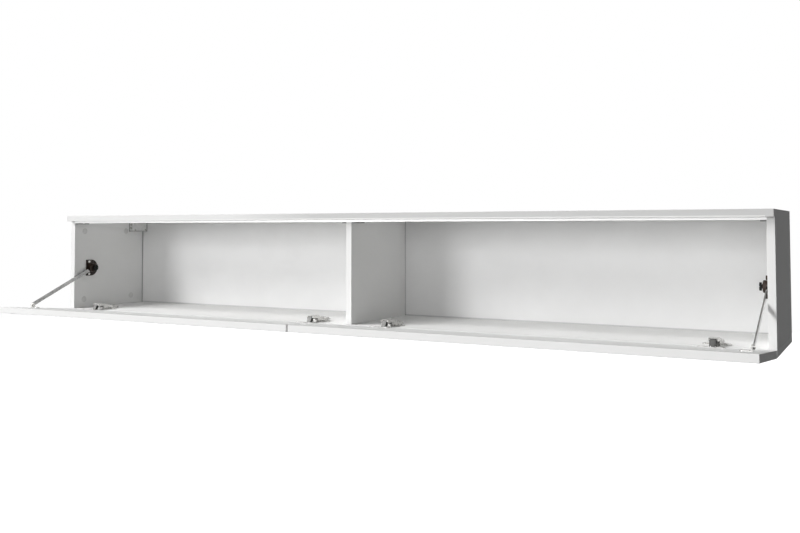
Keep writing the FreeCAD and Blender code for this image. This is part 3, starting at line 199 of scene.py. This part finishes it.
PLASTICS = (
    Plastic("white_plastic", PLASTIC_WHITE, PLASTIC_ROUGHNESS, PLASTIC_GLOSS, ("joiner",)),
    # Corner blocks: dark grey, partly painted shade for the gaps under the trim
    Plastic("grey_plastic_painted_shade", BLOCK_PAINTED_SHADE_GREY, 0.50, PLASTIC_GLOSS, ("corner_blocks",)),
    Plastic("cover_plastic", COVER_WHITE, PLASTIC_ROUGHNESS, PLASTIC_GLOSS, ("cam_covers",)),
    Plastic("dark_brown_plastic", BROWN, 0.34, 0.35, ("stay_base_plates", "brake_drum")),
    Plastic("black_plastic", BLACK, 0.45, 0.15, ("brake_knob",)),
)


class Metal(NamedTuple):
    """A metal and the endings of the names of the nodes made of it."""
    name: str
    finish: Finish
    colour: tuple
    roughness: float
    metallic: float
    endings: tuple


METALS = (
    Metal("nickel_plated_steel", PLATED, NICKEL, 0.20, 1.0,
          ("hinge_arms", "mounting_plates", "stay_bracket")),
    Metal("satin_nickel", PLATED, CUP_NICKEL, 0.32, 0.6, ("hinge_cups",)),
    # The links' near-black colour is painted shade for the gaps between them
    Metal("link_steel_painted_shade", PLATED, LINK_PAINTED_SHADE_STEEL, 0.40, 1.0, ("outer_links", "inner_links")),
    Metal("drawn_steel_bar", DRAWN, BAR_STEEL, 0.06, 1.0, ("stay_bar",)),
    Metal("zinc_plate", PLATED, ZINC, 0.32, 1.0, ("hanger_hooks", "wall_plates", "cam_locks")),
    Metal("bright_steel", PLATED, SCREW_STEEL, 0.18, 1.0, ("screws", "pins", "pin", "cam_bolts")),
)


# ---------------------------------------------------------------- painted shade at joints, and edge band

# Painted shade along a joint is full up to the first distance and gone from the second
PAINTED_SHADE_FADE = (1.0 * MM, 4.5 * MM)

# Brightness left in the painted shade along a joint: at the back panels' upright and level
# corners, at the housings' joints with the boards and along their rim
UPRIGHT_PAINTED_SHADE = 0.42
LEVEL_PAINTED_SHADE = 0.70
HOUSING_PAINTED_SHADE = 0.35
HOUSING_RIM_PAINTED_SHADE = 0.55

# The top board's front edge: how deep its band reaches, the white rim under the band, the
# stretch along X in which the band turns from a painted light at the left end to grey, and its
# mottling
BAND_DEPTH = 0.7 * MM
RIM_HEIGHT = 3.0 * MM
BAND_PAINTED_LIGHT_SPAN = (-0.40, -0.10)
BAND_GRAIN = Texture(40.0, 3.0, (0.1, 1.0, 1.0))
BAND_MOTTLE = 0.15


# ---------------------------------------------------------------- material building

class NodeTree:
    """The node tree of a material or the world, with short calls for the nodes used here."""

    def __init__(self, owner):
        owner.use_nodes = True
        self.nodes = owner.node_tree.nodes
        self.links = owner.node_tree.links

    def add(self, kind, **settings):
        node = self.nodes.new(kind)
        for key, value in settings.items():
            setattr(node, key, value)
        return node

    def spread(self, factor, low, high, start=0.0, end=1.0):
        """A number that goes from low to high, and stops there, as the factor passes the range."""
        node = self.add("ShaderNodeMapRange")
        node.inputs["From Min"].default_value = start
        node.inputs["From Max"].default_value = end
        node.inputs["To Min"].default_value = low
        node.inputs["To Max"].default_value = high
        self.links.new(factor, node.inputs["Value"])
        return node.outputs["Result"]

    def reckon(self, operation, *values):
        """The result of an operation on numbers and outputs."""
        node = self.add("ShaderNodeMath", operation=operation)
        for socket, value in zip(node.inputs, values):
            if isinstance(value, float):
                socket.default_value = value
            else:
                self.links.new(value, socket)
        return node.outputs["Value"]

    def seen_rays(self):
        """1 for rays that should meet a white studio: the camera's, reflections, refractions."""
        path = self.add("ShaderNodeLightPath")
        seen = path.outputs["Is Camera Ray"]
        for name in ("Is Glossy Ray", "Is Transmission Ray"):
            seen = self.reckon("MAXIMUM", seen, path.outputs[name])
        return seen


class Shader(NodeTree):
    """A material's node tree, whose textures follow the object's own coordinates."""

    def __init__(self, name):
        self.material = bpy.data.materials.new(name)
        super().__init__(self.material)
        self.surface = self.nodes["Principled BSDF"]
        self.place = self.add("ShaderNodeTexCoord").outputs["Object"]

    def feed(self, socket, output):
        self.links.new(output, self.surface.inputs[socket])

    def fixed(self, **values):
        for key, value in values.items():
            self.surface.inputs[key.replace("_", " ")].default_value = value

    def colour_so_far(self):
        return self.surface.inputs["Base Color"].links[0].from_socket

    def along(self, axis):
        split = self.add("ShaderNodeSeparateXYZ")
        self.links.new(self.place, split.inputs["Vector"])
        return split.outputs[axis]

    def from_origin(self):
        length = self.add("ShaderNodeVectorMath", operation="LENGTH")
        self.links.new(self.place, length.inputs["Vector"])
        return length.outputs["Value"]

    def noise(self, texture):
        mapping = self.add("ShaderNodeMapping")
        mapping.inputs["Scale"].default_value = texture.stretch
        self.links.new(self.place, mapping.inputs["Vector"])
        node = self.add("ShaderNodeTexNoise")
        node.inputs["Scale"].default_value = texture.scale
        node.inputs["Detail"].default_value = texture.detail
        self.links.new(mapping.outputs["Vector"], node.inputs["Vector"])
        return node.outputs["Fac"]

    def ramp(self, factor, low, high, start=0.0, end=1.0):
        """A colour that goes from low to high as the factor goes from start to end."""
        node = self.add("ShaderNodeValToRGB")
        for stop, place, colour in zip(node.color_ramp.elements, (start, end), (low, high)):
            stop.position = place
            stop.color = (*colour, 1.0)
        self.links.new(factor, node.inputs["Fac"])
        return node.outputs["Color"]

    def mix(self, factor, first, second):
        node = self.add("ShaderNodeMix", data_type="RGBA")
        self.links.new(factor, node.inputs["Factor"])
        self.links.new(first, node.inputs["A"])
        self.links.new(second, node.inputs["B"])
        return node.outputs["Result"]

    def seam(self, colour, distance, shade):
        """The colour, darkened by painted shade where the distance to a joint is small."""
        shaded = self.add("ShaderNodeMix", data_type="RGBA", blend_type="MULTIPLY")
        shaded.inputs["Factor"].default_value = 1.0
        self.links.new(colour, shaded.inputs["A"])
        self.links.new(self.spread(distance, shade, 1.0, *PAINTED_SHADE_FADE), shaded.inputs["B"])
        return shaded.outputs["Result"]

    def bump(self, height, strength, distance):
        node = self.add("ShaderNodeBump")
        node.inputs["Strength"].default_value = strength
        node.inputs["Distance"].default_value = distance
        self.links.new(height, node.inputs["Height"])
        self.feed("Normal", node.outputs["Normal"])


def finished(name, finish, colour, roughness, dark=None):
    """A material of one colour that varies as its finish says."""
    made = Shader(name)
    dark = dark or tuple(finish.dark_share * value for value in colour)
    made.feed("Base Color", made.ramp(made.noise(finish.cloud), dark, colour, *finish.cloud_ends))
    made.feed("Roughness",
              made.spread(made.noise(finish.sheen), roughness, roughness + finish.sheen_span))
    if finish.grain:
        made.bump(made.noise(finish.grain), finish.grain_strength, finish.grain_height)
    return made


# ---------------------------------------------------------------- materials

def melamine(name):
    """Pressed melamine: an even white with a fine pore and a faint cloudiness."""
    made = finished(name, MELAMINE, BOARD_WHITE, BOARD_ROUGHNESS, BOARD_SHADE)
    made.fixed(Specular_IOR_Level=BOARD_GLOSS)
    return made


def edge_banded(name):
    """The top board: melamine with a greyer band on its front edge.

    The band is lighter towards the left end, a painted pool of light, and it leaves the edge's
    lower rim white where the trim hangs below it."""
    made = melamine(name)
    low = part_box("top_panel")[0]
    front = made.reckon("LESS_THAN", made.along("Y"), low.y + BAND_DEPTH)
    over_trim = made.reckon("LESS_THAN", made.reckon("ABSOLUTE", made.along("X")),
                            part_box("right_front_trim")[1].x)
    rim = made.reckon("MULTIPLY", over_trim,
                      made.reckon("LESS_THAN", made.along("Z"), low.z + RIM_HEIGHT))
    band = made.reckon("MULTIPLY", front, made.reckon("SUBTRACT", 1.0, rim))
    # Painted light: the band turns lighter towards the left end
    painted_light_drift = made.spread(made.along("X"), 0.0, 1.0, *BAND_PAINTED_LIGHT_SPAN)
    mottle = made.spread(made.noise(BAND_GRAIN), 0.0, BAND_MOTTLE)
    tone = made.ramp(made.reckon("SUBTRACT", painted_light_drift, mottle), BAND_PAINTED_LIGHT, BAND_GREY)
    made.feed("Base Color", made.mix(band, made.colour_so_far(), tone))
    return made


def glossy_trim():
    """The strips under the top board: smooth and lacquered to a gloss."""
    made = finished("glossy_trim", MELAMINE, TRIM_WHITE, TRIM_ROUGHNESS, TRIM_SHADE)
    made.fixed(Specular_IOR_Level=TRIM_GLOSS, Metallic=TRIM_METALLIC,
               Coat_Weight=TRIM_COAT, Coat_Roughness=TRIM_COAT_ROUGHNESS)
    return made


def hardboard(side):
    """Lacquered back panel: smooth, with painted shade along the corners of its compartment."""
    made = finished(side + "_lacquered_hardboard", LACQUER, SHEET_WHITE, SHEET_ROUGHNESS)
    wall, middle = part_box(side + "_side_panel"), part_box("divider_panel")
    first, last = (wall, middle) if side == "left" else (middle, wall)
    compartment = (
        ("X", first[1].x, last[0].x, UPRIGHT_PAINTED_SHADE),
        ("Z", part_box("bottom_panel")[1].z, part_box("top_panel")[0].z, LEVEL_PAINTED_SHADE),
    )
    sheet = made.colour_so_far()
    # Painted shade: the sheet darkens near the walls, floor and ceiling, where shade falls in the
    # corners
    for axis, low, high, shade in compartment:
        from_middle = made.reckon("SUBTRACT", made.along(axis), (low + high) / 2)
        inside = made.reckon("SUBTRACT", (high - low) / 2,
                             made.reckon("ABSOLUTE", from_middle))
        sheet = made.seam(sheet, inside, shade)
    made.feed("Base Color", sheet)
    return made


def plastic(name, colour, roughness=PLASTIC_ROUGHNESS, gloss=PLASTIC_GLOSS):
    made = finished(name, MOULDED, colour, roughness)
    made.fixed(Specular_IOR_Level=gloss)
    return made


def housing():
    """White plastic, with painted shade at its joints with the wall and back panel and along its
    rim.
    """
    made = plastic("white_housing", PLASTIC_WHITE)
    to_wall = made.reckon("SUBTRACT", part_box("right_side_panel")[0].x,
                          made.reckon("ABSOLUTE", made.along("X")))
    to_back = made.reckon("SUBTRACT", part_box("left_back_panel")[0].y, made.along("Y"))
    to_rim = made.reckon("SUBTRACT", made.along("Z"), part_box("hanger_housings")[0].z)
    # Painted shade at the joints with the wall and back panel, and along the lower rim
    painted_shades = ((to_wall, HOUSING_PAINTED_SHADE), (to_back, HOUSING_PAINTED_SHADE), (to_rim, HOUSING_RIM_PAINTED_SHADE))
    shell = made.colour_so_far()
    for distance, shade in painted_shades:
        shell = made.seam(shell, distance, shade)
    made.feed("Base Color", shell)
    return made


def metal(name, finish, colour, roughness, metallic):
    made = finished(name, finish, colour, roughness)
    made.fixed(Metallic=metallic)
    return made


# ---------------------------------------------------------------- dressing

def named(*endings):
    return [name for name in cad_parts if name.endswith(endings)]


def paint(nodes, shader):
    for name in nodes:
        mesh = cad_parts[name].data
        mesh.materials.clear()
        mesh.materials.append(shader.material)


def dress_carcass():
    paint(named("side_panel", "divider_panel", "bottom_panel", "flap"), melamine("white_melamine"))
    paint(["top_panel"], edge_banded("white_melamine_top"))
    paint(named("front_trim"), glossy_trim())
    for side in ("left", "right"):
        paint([side + "_back_panel"], hardboard(side))
    paint(named("dowels"), finished("bare_beech", BARE_WOOD, BEECH, BEECH_ROUGHNESS))


def dress_fittings():
    paint(named("housings"), housing())
    for row in PLASTICS:
        paint(named(*row.endings), plastic(row.name, row.colour, row.roughness, row.gloss))
    for row in METALS:
        paint(named(*row.endings),
              metal(row.name, row.finish, row.colour, row.roughness, row.metallic))


# ---------------------------------------------------------------- studio

def link_new(name, data):
    """A new object of the data's kind, placed in the scene."""
    made = bpy.data.objects.new(name, data)
    bpy.context.scene.collection.objects.link(made)
    return made


def add_lamp(row):
    """A square softbox on a wide circle about the console, turned to its middle."""
    data = bpy.data.lights.new(row.name, "AREA")
    data.shape = "SQUARE"
    data.size = LAMP_SIZE
    data.energy = row.power
    turn = math.radians(row.azimuth)
    rise = math.radians(row.elevation)
    away = Vector((math.sin(turn) * math.cos(rise), -math.cos(turn) * math.cos(rise),
                   math.sin(rise)))
    lamp = link_new(row.name, data)
    lamp.location = Vector(LAMP_TARGET) + LAMP_DISTANCE * away
    lamp.rotation_euler = away.to_track_quat("Z", "Y").to_euler()


def add_world():
    """White to the camera and in reflections, a low even light on the surfaces."""
    world = bpy.data.worlds.new("studio")
    bpy.context.scene.world = world
    tree = NodeTree(world)
    background = tree.nodes["Background"]
    background.inputs["Color"].default_value = (*WHITE, 1.0)
    tree.links.new(tree.spread(tree.seen_rays(), AMBIENT, 1.0), background.inputs["Strength"])


def add_floor():
    """A pale floor well below the console that keeps its soft shadow.

    To the camera and in reflections it glows a little, more so farther out, so that it
    melts into the white around it."""
    mesh = bpy.data.meshes.new("floor")
    corners = ((-1, -1), (1, -1), (1, 1), (-1, 1))
    mesh.from_pydata([(x * FLOOR_HALF, y * FLOOR_HALF, FLOOR_Z) for x, y in corners], [],
                     [(0, 1, 2, 3)])
    floor = link_new("floor", mesh)
    made = Shader("pale_floor")
    made.fixed(Base_Color=(*FLOOR_GREY, 1.0), Roughness=FLOOR_ROUGHNESS,
               Emission_Color=(*WHITE, 1.0))
    glow = made.spread(made.from_origin(), FLOOR_GLOW, 1.0, *FLOOR_FADE)
    made.feed("Emission Strength", made.reckon("MULTIPLY", glow, made.seen_rays()))
    mesh.materials.append(made.material)


def add_camera():
    data = bpy.data.cameras.new("camera")
    data.sensor_width = SENSOR_WIDTH
    data.lens = FOCAL_PIXELS * SENSOR_WIDTH / IMAGE_WIDTH
    data.shift_y = (PRINCIPAL_Y - IMAGE_HEIGHT / 2) / IMAGE_WIDTH
    data.clip_start = NEAREST_SEEN
    data.clip_end = FARTHEST_SEEN
    camera = link_new("camera", data)
    camera.location = CAMERA_PLACE
    camera.rotation_euler = (math.radians(LEVEL + CAMERA_PITCH), math.radians(CAMERA_ROLL),
                             math.radians(CAMERA_YAW))
    bpy.context.scene.camera = camera


def add_studio():
    bpy.context.scene.view_settings.view_transform = "Standard"
    add_world()
    add_floor()
    for row in LAMPS:
        add_lamp(row)
    add_camera()


dress_carcass()
dress_fittings()
add_studio()
